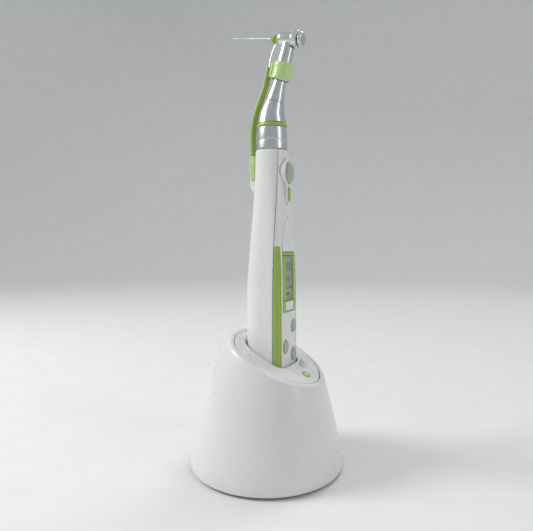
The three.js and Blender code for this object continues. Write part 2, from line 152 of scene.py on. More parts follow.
def spread(nodes, links, fac, low, high):
    """Maps noise to a range of numbers."""
    ranged = nodes.new("ShaderNodeMapRange")
    ranged.inputs["From Min"].default_value = 0.3
    ranged.inputs["From Max"].default_value = 0.7
    ranged.inputs["To Min"].default_value = low
    ranged.inputs["To Max"].default_value = high
    links.new(fac, ranged.inputs["Value"])
    return ranged.outputs["Result"]


def tint(nodes, links, fac, one, other):
    """Maps noise to a colour between two near ones."""
    ramp = nodes.new("ShaderNodeValToRGB")
    ramp.color_ramp.elements[0].position = 0.35
    ramp.color_ramp.elements[0].color = (*one, 1)
    ramp.color_ramp.elements[1].position = 0.65
    ramp.color_ramp.elements[1].color = (*other, 1)
    links.new(fac, ramp.inputs["Fac"])
    return ramp.outputs["Color"]


def bump(nodes, links, principled, fac, strength, depth):
    """Relief of a depth in millimetres."""
    node = nodes.new("ShaderNodeBump")
    node.inputs["Strength"].default_value = strength
    node.inputs["Distance"].default_value = depth * MM
    links.new(fac, node.inputs["Height"])
    links.new(node.outputs["Normal"], principled.inputs["Normal"])


def moulded(name, color, roughness, shade, grain=9000.0, grain_depth=0.012, **extra):
    """Injection-moulded plastic: a fine spark texture, and gloss and tone that drift a little."""
    material, nodes, links, principled = shader(name, color, roughness, **extra)
    drift = noise(nodes, links, 30.0, 2.0)
    darker = tuple(c * shade for c in color)
    links.new(tint(nodes, links, drift, darker, color), principled.inputs["Base Color"])
    polish = noise(nodes, links, 900.0, 4.0)
    links.new(spread(nodes, links, polish, roughness * 0.85, roughness * 1.2), principled.inputs["Roughness"])
    bump(nodes, links, principled, noise(nodes, links, grain, 2.0), 0.35, grain_depth)
    return material


def brushed(name, color, roughness, stretch=(1, 1, 14), scale=2600.0):
    """Satin metal with fine turning marks across the given axis."""
    material, nodes, links, principled = shader(name, color, roughness, 1.0)
    marks = noise(nodes, links, scale, 3.0, stretch)
    links.new(spread(nodes, links, marks, roughness * 0.8, roughness * 1.3), principled.inputs["Roughness"])
    stain = noise(nodes, links, 120.0, 2.0)
    darker = tuple(c * 0.95 for c in color)
    links.new(tint(nodes, links, stain, darker, color), principled.inputs["Base Color"])
    bump(nodes, links, principled, marks, 0.3, 0.006)
    return material


WHITE = moulded("white_abs", (0.76, 0.765, 0.75), 0.27, 0.985, 9000.0, 0.002, Coat_Weight=0.25,
                Coat_Roughness=0.12)
GREEN = moulded("lime_green", (0.31, 0.48, 0.07), 0.30, 0.98, Coat_Weight=0.2, Coat_Roughness=0.15)
PALE = moulded("pale_green", (0.50, 0.70, 0.30), 0.28, 0.98, Subsurface_Weight=0.15,
               Subsurface_Radius=(0.001, 0.0015, 0.0006))
BUTTON = moulded("button_grey", (0.42, 0.46, 0.39), 0.42, 0.97, 5200.0, 0.02)
SILICONE = moulded("green_silicone", (0.28, 0.47, 0.07), 0.5, 0.9, 4200.0, 0.02)
STEEL = brushed("satin_steel", (0.66, 0.67, 0.68), 0.26)
FILE_STEEL = brushed("file_steel", (0.60, 0.62, 0.64), 0.22, (14, 1, 1), 3200.0)
BRASS = brushed("gilt_brass", (0.78, 0.58, 0.25), 0.22, (14, 1, 1))
DARK = moulded("dark_plastic", (0.028, 0.030, 0.032), 0.48, 0.8, 5200.0, 0.02)
RUBBER = moulded("foot_rubber", (0.02, 0.02, 0.021), 0.75, 0.7, 3500.0, 0.04)
BOARD = moulded("solder_mask", (0.02, 0.12, 0.05), 0.4, 0.8)
WRAP = moulded("battery_wrap", (0.05, 0.12, 0.34), 0.35, 0.9)
LCD = moulded("lcd_face", (0.47, 0.54, 0.43), 0.36, 0.94, 12000.0, 0.004)
SEGMENT = moulded("lcd_segment", (0.035, 0.05, 0.045), 0.4, 0.8)


def clear_window():
    material, nodes, links, principled = shader("window_clear", (0.97, 1.0, 0.97), 0.05, IOR=1.45,
                                                Transmission_Weight=1.0)
    smear = noise(nodes, links, 260.0, 4.0)
    links.new(spread(nodes, links, smear, 0.03, 0.09), principled.inputs["Roughness"])
    return material


WINDOW = clear_window()


# ---- Mesh making ----
def piece(name, vertices, faces, material, body, slot, nodes=(), smooth=True, crease=CREASE):
    """A mesh from millimetre vertices. It rides on a body and stands for the CAD nodes named."""
    mesh = bpy.data.meshes.new(name)
    mesh.from_pydata([tuple(float(c) * MM for c in v) for v in vertices], [], faces)
    return dress(name, mesh, material, body, slot, nodes, smooth, crease)


def dress(name, mesh, material, body, slot, nodes=(), smooth=True, crease=CREASE):
    """Cleans a mesh, shades it and makes it a piece that rides on a body."""
    work = bmesh.new()
    work.from_mesh(mesh)
    bmesh.ops.remove_doubles(work, verts=work.verts, dist=1e-7)
    bmesh.ops.dissolve_degenerate(work, edges=work.edges, dist=1e-8)
    bmesh.ops.recalc_face_normals(work, faces=work.faces)
    for face in work.faces:
        face.smooth = smooth
    for edge in work.edges:
        if len(edge.link_faces) == 2 and edge.calc_face_angle(0) > math.radians(crease):
            edge.smooth = False
    work.to_mesh(mesh)
    work.free()
    mesh.materials.clear()
    mesh.materials.append(material)
    obj = bpy.data.objects.new(name, mesh)
    bpy.context.scene.collection.objects.link(obj)
    if body:
        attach(obj, body)
    if nodes:
        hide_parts(*nodes)
    return obj


def grid_faces(rows, columns, close_rows=False):
    """Quads of a grid of vertices, stored row by row. Each row closes on itself."""
    faces = []
    for i in range(rows if close_rows else rows - 1):
        for j in range(columns):
            a, b = i * columns, ((i + 1) % rows) * columns
            k = (j + 1) % columns
            faces.append((a + j, a + k, b + k, b + j))
    return faces


def capped(rings):
    """A closed skin through rings that all have the same number of points."""
    columns = len(rings[0])
    vertices = [v for ring in rings for v in ring]
    faces = grid_faces(len(rings), columns)
    faces.append(tuple(range(columns))[::-1])
    faces.append(tuple(range(len(vertices) - columns, len(vertices))))
    return vertices, faces


def rounded(points, radius, steps=4):
    """A profile with each inner corner turned into a small curve."""
    out = [points[0]]
    for before, here, after in zip(points, points[1:], points[2:]):
        here = np.array(here, float)
        back, ahead = np.array(before) - here, np.array(after) - here
        reach = min(radius, 0.45 * np.linalg.norm(back), 0.45 * np.linalg.norm(ahead))
        start = here + back / np.linalg.norm(back) * reach
        end = here + ahead / np.linalg.norm(ahead) * reach
        for i in range(steps + 1):
            t = i / steps
            out.append(tuple((1 - t) ** 2 * start + 2 * t * (1 - t) * here + t * t * end))
    out.append(points[-1])
    return out


def smooth_line(points, steps):
    """A number of places along a Catmull-Rom curve through points."""
    pts = np.array(points, float)
    pts = np.vstack([2 * pts[0] - pts[1], pts, 2 * pts[-1] - pts[-2]])
    out = []
    for t in np.linspace(0, len(points) - 1, steps):
        i = min(int(t), len(points) - 2)
        u = t - i
        a, b, c, d = pts[i], pts[i + 1], pts[i + 2], pts[i + 3]
        out.append(0.5 * (2 * b + (c - a) * u + (2 * a - 5 * b + 4 * c - d) * u ** 2
                          + (3 * b - a - 3 * c + d) * u ** 3))
    return np.array(out)


def turned(points, sides, placing, wave=None):
    """A solid of revolution about Z from radius, height points.

    placing moves each point into the row frame, and wave varies the radius with direction and height.
    """
    rings = []
    for radius, z in points:
        ring = []
        for i in range(sides):
            turn = 2 * math.pi * i / sides
            reach = max(radius, AXIS_RADIUS) * (wave(turn, z) if wave else 1)
            ring.append(placing((reach * math.cos(turn), reach * math.sin(turn), z)))
        rings.append(ring)
    if points[0] == points[-1]:
        vertices = [v for ring in rings[:-1] for v in ring]
        return vertices, grid_faces(len(rings) - 1, sides, close_rows=True)
    return capped(rings)


def at_handle(p):
    return (p[0] + HANDLE_X, p[1], p[2])


def on_neck(p):
    """From the neck's own frame, whose Z runs up the neck from the bend."""
    x, y, z = p
    return (HANDLE_X + x * math.cos(NECK_TILT) + z * math.sin(NECK_TILT), y,
            BEND_Z - x * math.sin(NECK_TILT) + z * math.cos(NECK_TILT))


HEAD = on_neck((0, 0, NECK_LENGTH))


def on_head(p):
    """From the head's own frame, whose Z points along the file and whose X points up."""
    x, y, z = p
    return (HEAD[0] + x * math.sin(FILE_RISE) - z * math.cos(FILE_RISE), y,
            HEAD[2] + x * math.cos(FILE_RISE) + z * math.sin(FILE_RISE))


def combine(obj, others, operation):
    """Cuts the others out of obj, or joins them to it, and removes them."""
    for other in others:
        modifier = obj.modifiers.new("combine", "BOOLEAN")
        modifier.operation = operation
        modifier.solver = "EXACT"
        modifier.object = other
    done = obj.evaluated_get(bpy.context.evaluated_depsgraph_get())
    mesh = bpy.data.meshes.new_from_object(done)
    obj.modifiers.clear()
    obj.data = mesh
    for other in others:
        bpy.data.objects.remove(other, do_unlink=True)
    for polygon in mesh.polygons:
        polygon.use_smooth = True
    mesh.set_sharp_from_angle(angle=math.radians(CREASE))


def plate_x(outline, x0, x1, edge=0.0, holes=()):
    """A flat plate whose outlines lie in the Y, Z plane, from x0 to x1, with rounded edges."""
    curve = bpy.data.curves.new("plate", "CURVE")
    curve.dimensions = "2D"
    curve.fill_mode = "BOTH"
    curve.extrude = (abs(x1 - x0) / 2 - edge) * MM
    curve.bevel_depth = edge * MM
    curve.bevel_resolution = 4
    curve.offset = -edge * MM
    for line in (outline, *holes):
        spline = curve.splines.new("POLY")
        spline.points.add(len(line) - 1)
        for point, (y, z) in zip(spline.points, line):
            point.co = (y * MM, z * MM, 0, 1)
        spline.use_cyclic_u = True
    holder = bpy.data.objects.new("plate", curve)
    bpy.context.scene.collection.objects.link(holder)
    mesh = bpy.data.meshes.new_from_object(holder.evaluated_get(bpy.context.evaluated_depsgraph_get()))
    bpy.data.objects.remove(holder, do_unlink=True)
    # The curve's X, Y and Z become the row's Y, Z and X.
    mesh.transform(Matrix(((0, 0, 1, (x0 + x1) / 2 * MM), (1, 0, 0, 0), (0, 1, 0, 0), (0, 0, 0, 1))))
    return mesh


def ellipse(y, z, half_y, half_z, steps=56):
    turns = [2 * math.pi * i / steps for i in range(steps)]
    return [(y + half_y * math.cos(turn), z + half_z * math.sin(turn)) for turn in turns]


def cutter(mesh):
    obj = bpy.data.objects.new("cutter", mesh)
    bpy.context.scene.collection.objects.link(obj)
    return obj


def finish_node(node, material):
    """Gives a CAD node that stays its own material."""
    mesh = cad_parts[node].data
    mesh.materials.clear()
    mesh.materials.append(material)


# ---- Dock ----
CROWN = [(16.7 * (1 - t), 62.3 + 3.7 * t) for t in np.linspace(0.05, 0.9, 12)]  # cut away by the slope
DOME = np.vstack([smooth_line(DOCK_OUTLINE, 220), CROWN])


def slope_z(x, lift=0.0):
    """The height of the sloping face at x, or of a plane lifted square off it."""
    return SLOPE_HEIGHT - SLOPE * x + lift * math.hypot(1, SLOPE)


def dome_meets_slope(turn):
    """The index along DOME, and the radius, where the dome reaches the sloping face in this direction."""
    radii = DOME[:, 0]
    above = DOME[:, 1] - (SLOPE_HEIGHT - SLOPE * radii * math.cos(turn))
    i = int(np.argmax(above > 0))
    part = above[i - 1] / (above[i - 1] - above[i])
    return i - 1 + part, radii[i - 1] + part * (radii[i] - radii[i - 1])


def dome_point(index):
    i = min(int(index), len(DOME) - 2)
    return DOME[i] + (index - i) * (DOME[i + 1] - DOME[i])


def build_dock_shell():
    sides, climb, rim_steps = 144, 48, 8
    first = 3  # where the wall leaves the softened bottom edge, as an index along DOME
    rings = []
    for s in range(sides):
        turn = 2 * math.pi * s / sides
        top, _ = dome_meets_slope(turn)
        corner = dome_point(top)
        inward = np.array([-1, SLOPE * math.cos(turn)])
        inward = inward / np.linalg.norm(inward)
        up = corner - dome_point(top - 6)
        up = up / np.linalg.norm(up)
        profile = [(34.2, 3.0), (34.2, 1.5), (34.5, 1.2), (36.0, 1.2), (36.35, 1.35), (36.5, 1.8)]
        last = next(top - k for k in range(1, 40)
                    if np.linalg.norm(dome_point(top - k) - corner) > RIM_ROUND)
        for i in range(1, climb + 1):
            profile.append(tuple(dome_point(first + (last - first) * i / climb)))
        start, end = np.array(profile[-1]), corner + inward * RIM_ROUND
        for i in range(1, rim_steps + 1):
            t = i / rim_steps
            profile.append(tuple((1 - t) ** 2 * start + 2 * t * (1 - t) * corner + t * t * end))
        edge = corner + inward * (DOCK_WALL - 0.25)
        profile += [tuple(edge), tuple(edge + inward * 0.2 + (0, -0.2)),
                    tuple(edge + inward * 0.25 + (0, -2.5))]
        rings.append([(r * math.cos(turn), r * math.sin(turn), z) for r, z in profile])
    rows, columns = len(rings), len(rings[0])
    vertices = [v for ring in rings for v in ring]
    piece("dock_shell_skin", vertices, grid_faces(rows, columns, close_rows=True), WHITE, "dock",
          "white_shell", ["dock_shell"])


def build_top_plate():
    sides, flat_steps = 144, 6
    rings = []
    for s in range(sides):
        turn = 2 * math.pi * s / sides
        c, n = math.cos(turn), math.sin(turn)
        hole = section_radius(slope_guess_z(turn), turn) + WELL_EDGE
        low, high = hole, 45.0  # the outer edge, seen from the handle's axis, lies between these
        for _ in range(BISECTIONS):
            reach = (low + high) / 2
            x, y = HANDLE_X + reach * c, reach * n
            _, limit = dome_meets_slope(math.atan2(y, x))
            inside = math.hypot(x, y) < limit - DOCK_WALL - 0.1
            low, high = (reach, high) if inside else (low, reach)
        profile = [(hole, -2.4), (hole, -0.9), (hole + 0.12, -0.35), (hole + 0.4, -0.06), (hole + 0.9, 0.0)]
        profile += [(hole + 0.9 + (reach - 0.4 - hole - 0.9) * k / flat_steps, 0.0)
                    for k in range(1, flat_steps + 1)]
        profile += [(reach - 0.12, -0.1), (reach, -0.4), (reach, -2.4)]
        rings.append([(HANDLE_X + r * c, r * n, slope_z(HANDLE_X + r * c, lift)) for r, lift in profile])
    vertices = [v for ring in rings for v in ring]
    piece("dock_plate_skin", vertices, grid_faces(sides, len(rings[0]), close_rows=True), WHITE, "dock",
          "white_shell", ["dock_top_plate"])


def on_slope(x, y, lift):
    """A placing for a turned piece that stands square on the sloping face."""
    tilt = math.atan(SLOPE)
    base = (x, y, slope_z(x, lift))

    def place(p):
        return (base[0] + p[0] * math.cos(tilt) + p[2] * math.sin(tilt), base[1] + p[1],
                base[2] - p[0] * math.sin(tilt) + p[2] * math.cos(tilt))
    return place


def build_dock_details():
    lens = rounded([(0, -0.4), (1.6, -0.4), (1.6, 0.22), (0.9, 0.42), (0, 0.48)], 0.25)
    vertices, faces = turned(lens, 40, on_slope(LENS_X, 0, 0))
    piece("indicator_lens_dome", vertices, faces, PALE, "dock", "pale_green", ["dock_indicator_lens"])
    bezel = [(1.66, -0.3), (1.66, 0.1), (1.8, 0.2), (2.05, 0.2), (2.2, 0.05), (2.2, -0.3), (1.66, -0.3)]
    vertices, faces = turned(bezel, 48, on_slope(LENS_X, 0, 0))
    piece("indicator_bezel", vertices, faces, GREEN, "dock", "green_accent")

    lug = ellipse(LUG["y"], 0, LUG["half_y"], LUG["half_x"], 36)
    place = on_slope(LUG["x"], 0, 0)
    layers = [(-0.6, 1.0), (1.9, 0.95), (2.5, 0.88), (2.9, 0.7), (3.05, 0.4)]
    rings = [[place((x * grow, LUG["y"] + (y - LUG["y"]) * grow, height)) for y, x in lug]
             for height, grow in layers]
    vertices, faces = capped(rings)
    piece("locating_lug", vertices, faces, WHITE, "dock", "white_shell")

    def to_back(p):  # the inlet's own Z points out of the back
        return (-p[2], p[1], p[0] + INLET_HEIGHT)
    collar = rounded([(2.75, 24), (2.75, 34.9), (3.0, 35.15), (3.8, 35.15), (4.05, 34.9), (4.05, 29),
                      (2.75, 24)], 0.15)
    vertices, faces = turned(collar, 56, to_back)
    piece("inlet_collar", vertices, faces, DARK, "dock", "dark_plastic", ["dock_power_inlet"])
    pin = rounded([(0, 24), (0.85, 24), (0.85, 32.2), (0.5, 32.8), (0, 32.9)], 0.2)
    vertices, faces = turned(pin, 24, to_back)
    piece("inlet_centre_pin", vertices, faces, BRASS, "dock", "dark_plastic")
    vertices, faces = turned([(0, 24.0), (4.0, 24.0), (4.0, 24.6), (0, 24.6)], 32, to_back)
    piece("inlet_backing", vertices, faces, DARK, "dock", "dark_plastic")

    foot = rounded([(0, 0), (3.55, 0), (4, 0.35), (4, 1.2), (1.5, 1.2), (1.5, 3.2), (0, 3.2)], 0.25)
    for i in range(1, 5):
        low, high = node_box(f"dock_foot_{i}")
        centre = ((low[0] + high[0]) / 2, (low[1] + high[1]) / 2)
        vertices, faces = turned(foot, 40, lambda p: (p[0] + centre[0], p[1] + centre[1], p[2]))
        piece(f"rubber_foot_{i}", vertices, faces, RUBBER, "dock", "foot_rubber", [f"dock_foot_{i}"])


# ---- Handle ----
HANDLE_LINE = smooth_line(HANDLE, 280)
CORNER_TURN = 0.8  # a direction near the section's front corner
SOFT_EDGE = 0.35  # width of the rounding along a moulding's edges


def fine_row(z):
    """Back, front, half width and squareness at a height, on smooth lines through the table."""
    return [float(np.interp(z, HANDLE_LINE[:, 0], HANDLE_LINE[:, k])) for k in range(1, 5)]


def section_radius(z, turn, grow=0.0):
    """The distance from the handle's axis to its surface at a height, in a direction."""
    back, front, half, square = fine_row(z)
    ahead = math.cos(turn) > 0
    depth = (front - HANDLE_X if ahead else HANDLE_X - back) + grow
    power = square if ahead else BACK_SQUARENESS
    reach = abs(math.cos(turn) / depth) ** power + abs(math.sin(turn) / (half + grow)) ** power
    return reach ** (-1 / power)


def slope_guess_z(turn):
    """The height at which the sloping face meets the handle in this direction."""
    return slope_z(HANDLE_X + 11.0 * math.cos(turn))


def turn_at_x(z, x):
    """The direction in which the section reaches x, on the +Y side."""
    low, high = 0.0, math.pi / 2
    for _ in range(BISECTIONS):
        mid = (low + high) / 2
        ahead = HANDLE_X + section_radius(z, mid) * math.cos(mid) > x
        low, high = (mid, high) if ahead else (low, mid)
    return low


def turn_at_y(z, y):
    """The direction in which the front of the section reaches y."""
    low, high = 0.0, math.pi / 3
    for _ in range(BISECTIONS):
        mid = (low + high) / 2
        inside = section_radius(z, mid) * math.sin(mid) < y
        low, high = (mid, high) if inside else (low, mid)
    return low


def shell_patch(levels, start, end, thickness, columns, lift=0.0):
    """A curved strip of the handle's wall between two directions, with softened edges all round."""
    bottom, top = levels[0], levels[-1]
    rings = []
    for z in levels:
        first, last = start(z), end(z)
        end_drop = 0.22 * max(0, 1 - min(z - bottom, top - z) / SOFT_EDGE) ** 2
        outer, inner = [], []
        for c in range(columns + 1):
            # Columns crowd towards both edges, where the wall rounds over.
            t = 0.5 - 0.5 * math.cos(math.pi * c / columns)
            turn = first + (last - first) * t
            reach = section_radius(z, turn)
            side = min(t, 1 - t) * abs(last - first) * reach
            drop = 0.25 * max(0.0, 1 - side / SOFT_EDGE) ** 2
            for line, offset in ((outer, lift - max(drop, end_drop)), (inner, -thickness)):
                r = section_radius(z, turn, offset)
                line.append((HANDLE_X + r * math.cos(turn), r * math.sin(turn), z))
        rings.append(outer + inner[::-1])
    return capped(rings)


def heights(bottom, top):
    """Heights from bottom to top, with close ones at both ends for the rounded edges."""
    spacing = 1.2
    middle = list(np.linspace(bottom + 0.6, top - 0.6, int((top - bottom) / spacing)))
    close = (0.0, 0.08, 0.2, 0.38)
    return [bottom + rise for rise in close] + middle + [top - fall for fall in close[::-1]]


def seam_turn(z):
    """The angle that half of a parting line takes up round the section."""
    return SKIN_GAP / (section_radius(z, CORNER_TURN) + 0.001)


def build_handle_shells():
    rear = shell_patch(heights(HANDLE_BOTTOM, HANDLE_TOP),
                       lambda z: turn_at_x(z, SEAM_X) + seam_turn(z),
                       lambda z: 2 * math.pi - turn_at_x(z, SEAM_X) - seam_turn(z), 1.4, 96)
    piece("rear_shell_skin", *rear, WHITE, "handpiece", "white_shell", ["handle_rear_shell"])

    def cover_edge(z):
        at_seam = turn_at_x(z, SEAM_X) - seam_turn(z)
        if z >= STRIP_TOP + 0.1:
            return at_seam
        return turn_at_y(z, STRIP_Y) - seam_turn(z)
    # The cover steps in just above the strips' top ends.
    levels = sorted(heights(HANDLE_BOTTOM, HANDLE_TOP) + [STRIP_TOP + 0.05, STRIP_TOP + 0.15])
    cover = piece("front_cover_skin", *shell_patch(levels, lambda z: -cover_edge(z), cover_edge, 1.3, 60),
                  WHITE, "handpiece", "white_shell", ["handle_front_cover"])
    openings = [panel_line(0.15), switch_line(0.12)]
    half_y, half_z = (half + BUTTON_CLEARANCE for half in BUTTON_HALF)
    openings += [ellipse(y, z, half_y, half_z) for y, z in BUTTONS.values()]
    combine(cover, [cutter(plate_x(opening, 5, 20)) for opening in openings], "DIFFERENCE")

    for name, side in (("left", -1), ("right", 1)):
        def inner(z):
            return side * (turn_at_y(z, STRIP_Y) + seam_turn(z))

        def outer(z):
            return side * (turn_at_x(z, SEAM_X) - seam_turn(z))
        strip = shell_patch(heights(STRIP_BOTTOM, STRIP_TOP), inner, outer, 1.3, 20, lift=0.12)
        piece(f"accent_strip_{name}_skin", *strip, GREEN, "handpiece", "green_accent",
              [f"accent_strip_{name}"])


def panel_line(inset):
    """The outline of the display panel: straight sides and an arched top."""
    half, bottom = PANEL["half"] + inset, PANEL["bottom"] - inset
    shoulder, top = PANEL["shoulder"], PANEL["top"] + inset
    corner = 1.0
    line = [(-half + corner * (1 - math.sin(a)), bottom + corner * (1 - math.cos(a)))
            for a in np.linspace(math.pi / 2, 0, 7)]
    line += [(-y, z) for y, z in line[::-1]]
    controls = [(half, shoulder), (half, shoulder + 8), (2.6, top), (0, top)]
    right = []
    for t in np.linspace(0, 1, 22):
        weights = [(1 - t) ** 3, 3 * t * (1 - t) ** 2, 3 * t * t * (1 - t), t ** 3]
        right.append(tuple(sum(w * np.array(c) for w, c in zip(weights, controls))))
    return line + right + [(-y, z) for y, z in right[-2::-1]]


def switch_line(grow):
    """The outline of the main switch: an oval, necking into a narrow tail with a round end."""
    tail = SWITCH["tail"] + grow
    half_y, half_z = SWITCH["half_y"] + grow, SWITCH["half_z"] + grow
    join = math.asin(tail * 1.05 / half_y)
    oval = [(half_y * math.sin(a), SWITCH["z"] - half_z * math.cos(a))
            for a in np.linspace(join, 2 * math.pi - join, 60)]
    centre = SWITCH["bottom"] + SWITCH["tail"]
    end = [(-tail * math.cos(a), centre - tail * math.sin(a)) for a in np.linspace(0, math.pi, 24)]
    return oval + end


def front_x(y, z):
    """Where the handle's front face is, at this place across it."""
    _, front, half, square = fine_row(z)
    return HANDLE_X + (front - HANDLE_X) * (1 - min(1.0, abs(y) / half) ** square) ** (1 / square)


def draped(outline, low, high, edge=0.0, holes=()):
    """A plate that follows the handle's front face, from low to high measured out from that face."""
    mesh = plate_x(outline, low, high, edge, holes)
    work = bmesh.new()
    work.from_mesh(mesh)
    zs = [z for _, z in outline]
    cuts = [((0, 0, z * MM), (0, 0, 1)) for z in np.arange(min(zs) + 1.3, max(zs) - 0.3, 1.6)]
    cuts += [((0, y * MM, 0), (0, 1, 0)) for y in (-6.0, -5.4, -4.4, -2.8, 0, 2.8, 4.4, 5.4, 6.0)]
    for place, normal in cuts:
        bmesh.ops.bisect_plane(work, geom=work.verts[:] + work.edges[:] + work.faces[:], dist=1e-7,
                               plane_co=place, plane_no=normal)
    for vertex in work.verts:
        vertex.co.x += front_x(vertex.co.y / MM, vertex.co.z / MM) * MM
    work.to_mesh(mesh)
    work.free()
    return mesh


def build_display():
    low, high = SCREEN["bottom"], SCREEN["top"]
    proud, deep = 0.2, -1.2
    half = PANEL["half"] - 0.05
    hole = [(-SCREEN["half"] - 0.15, low - 0.15), (SCREEN["half"] + 0.15, low - 0.15),
            (SCREEN["half"] + 0.15, high + 0.15), (-SCREEN["half"] - 0.15, high + 0.15)]
    frame_top = high + 2.4
    upper = [(y, z) for y, z in panel_line(-0.05) if z > frame_top + 0.35]
    tongue = upper + [(-half, frame_top + 0.3), (half, frame_top + 0.3)]
    dress("panel_tongue", draped(tongue, deep, proud, 0.22), WHITE, "handpiece", "white_shell")
    header = [(-half, high + 1.0), (half, high + 1.0), (half, frame_top), (-half, frame_top)]
    dress("display_header", draped(header, deep, proud + 0.08, 0.18), GREEN, "handpiece", "green_accent")
    bezel = [(-half, low - 0.6), (half, low - 0.6), (half, high + 0.75), (-half, high + 0.75)]
    dress("display_bezel", draped(bezel, deep, proud, 0.18, [hole]), GREEN, "handpiece", "green_accent",
          ["display_frame"])
    apron = [(y, z) for y, z in panel_line(-0.05) if z < PANEL["bottom"] + 2]
    cheek = 4.1
    middle = [(-cheek, PANEL["bottom"] + 0.6), (cheek, PANEL["bottom"] + 0.6), (cheek, low - 1.4),
              (-cheek, low - 1.4)]
    border = apron + [(half, low - 0.85), (-half, low - 0.85)]
    dress("panel_apron", draped(border, deep, proud, 0.18, [grown(middle, 0.12)]), GREEN, "handpiece",
          "green_accent")
    dress("panel_plaque", draped(middle, deep, proud, 0.18), WHITE, "handpiece", "white_shell")
    window = [(-SCREEN["half"], low), (SCREEN["half"], low), (SCREEN["half"], high), (-SCREEN["half"], high)]
    dress("screen_glass", draped(window, -0.3, 0.08, 0.08), WINDOW, "handpiece", "screen_window",
          ["display_window"])
    dress("screen_face", draped(window, -1.1, -0.62), LCD, "handpiece", "dark_plastic")
    build_segments()


def grown(rectangle, by):
    """A rectangle about y = 0 with each side moved out."""
    return [(y + math.copysign(by, y), z + (by if z > rectangle[0][1] + 0.1 else -by)) for y, z in rectangle]


DIGITS = {"0": "abcdef", "2": "abged", "3": "abgcd"}  # the segments that each figure lights


def build_segments():
    """Seven-segment numbers, a torque bar and a charge gauge on the screen."""
    bars = []

    def bar(y0, y1, z0, z1):
        bars.append((y0, y1, z0, z1))

    def digit(mark, y, z, wide, tall):
        thin, half = wide * 0.2, tall / 2
        places = {
            "a": (y, y + wide, z + tall - thin, z + tall), "d": (y, y + wide, z, z + thin),
            "g": (y, y + wide, z + half - thin / 2, z + half + thin / 2),
            "f": (y, y + thin, z + half, z + tall),
            "b": (y + wide - thin, y + wide, z + half, z + tall), "e": (y, y + thin, z, z + half),
            "c": (y + wide - thin, y + wide, z, z + half),
        }
        for name in DIGITS[mark]:
            bar(*places[name])

    base = SCREEN["bottom"]
    for i, mark in enumerate("300"):
        digit(mark, -2.75 + i * 1.95, base + 13.2, 1.5, 3.6)
    for i, mark in enumerate("20"):
        digit(mark, -1.9 + i * 2.1, base + 7.7, 1.4, 2.8)
    bar(-0.42, -0.12, base + 7.7, base + 8.05)
    for i in range(8):
        bar(-2.7 + i * 0.72, -2.25 + i * 0.72, base + 4.4, base + 4.9 + i * 0.16)
    cell_low, cell_high = base + 1.2, base + 3.1
    bar(-2.7, 0.6, cell_low, cell_low + 0.2)
    bar(-2.7, 0.6, cell_high - 0.2, cell_high)
    bar(-2.7, -2.5, cell_low, cell_high)
    bar(0.4, 0.6, cell_low, cell_high)
    bar(0.6, 0.85, cell_low + 0.5, cell_high - 0.5)
    for i in range(3):
        bar(-2.3 + i * 0.9, -1.6 + i * 0.9, cell_low + 0.4, cell_high - 0.4)
    vertices, faces = [], []
    for y0, y1, z0, z1 in bars:
        k = len(vertices)
        vertices += [(front_x(y, z) - depth, y, z) for depth in (0.66, 0.57)
                     for y, z in ((y0, z0), (y1, z0), (y1, z1), (y0, z1))]
        faces += [(k, k + 3, k + 2, k + 1), (k + 4, k + 5, k + 6, k + 7)]
        faces += [(k + i, k + (i + 1) % 4, k + 4 + (i + 1) % 4, k + 4 + i) for i in range(4)]
    piece("screen_segments", vertices, faces, SEGMENT, "handpiece", "dark_plastic", smooth=False)


def domed_oval(y, z, half_y, half_z, layers):
    """An oval key that stands out along +X: layers are x and the share of its full outline."""
    rings = [[(x, y + half_y * grow * math.cos(a), z + half_z * grow * math.sin(a))
              for a in np.linspace(0, 2 * math.pi, 64, endpoint=False)] for x, grow in layers]
    return capped(rings)


def build_keys():
    for name, (y, z) in BUTTONS.items():
        layers = [(9.3, 1.16), (9.9, 1.16), (9.95, 1.0), (12.55, 1.0), (12.8, 0.96), (12.95, 0.88),
                  (13.0, 0.78), (12.93, 0.6), (12.86, 0.35), (12.84, 0.1)]
        vertices, faces = domed_oval(y, z, *BUTTON_HALF, layers)
        piece(f"button_{name}_cap", vertices, faces, BUTTON, f"button_{name}", "key_grey",
              [f"control_button_{name}"])
    half_y, half_z = SWITCH["half_y"] - 1.3, SWITCH["half_z"] - 1.3
    layers = [(9.9, 1.0), (12.2, 1.0), (12.7, 0.975), (13.1, 0.92), (13.35, 0.83), (13.5, 0.68),
              (13.57, 0.45), (13.6, 0.15)]
    vertices, faces = domed_oval(0, SWITCH["z"], half_y, half_z, layers)
    piece("main_switch_cap", vertices, faces, BUTTON, "main_switch", "key_grey", ["main_switch_button"])

    hole = ellipse(0, SWITCH["z"], half_y + 0.18, half_z + 0.18)
    slot_half = SWITCH["tail"] - 1.0
    slot_low, slot_high = SWITCH["bottom"] + 1.0, 132.3
    slot = stadium(slot_half, slot_low, slot_high)
    dress("switch_bezel", plate_x(switch_line(0), 9.6, 12.3, 0.35, [hole, slot]), WHITE, "handpiece",
          "white_shell", ["switch_surround"])
    light = stadium(slot_half - SKIN_GAP, slot_low + SKIN_GAP, slot_high - SKIN_GAP)
    dress("status_light", plate_x(light, 10.4, 12.45, 0.3), GREEN, "handpiece", "green_accent",
          ["status_light_strip"])


def stadium(half, low, high):
    """An upright slot with round ends."""
    upper = [(half * math.cos(a), high - half + half * math.sin(a)) for a in np.linspace(0, math.pi, 14)]
    lower = [(half * math.cos(a), low + half + half * math.sin(a))
             for a in np.linspace(math.pi, 2 * math.pi, 14)]
    return upper + lower


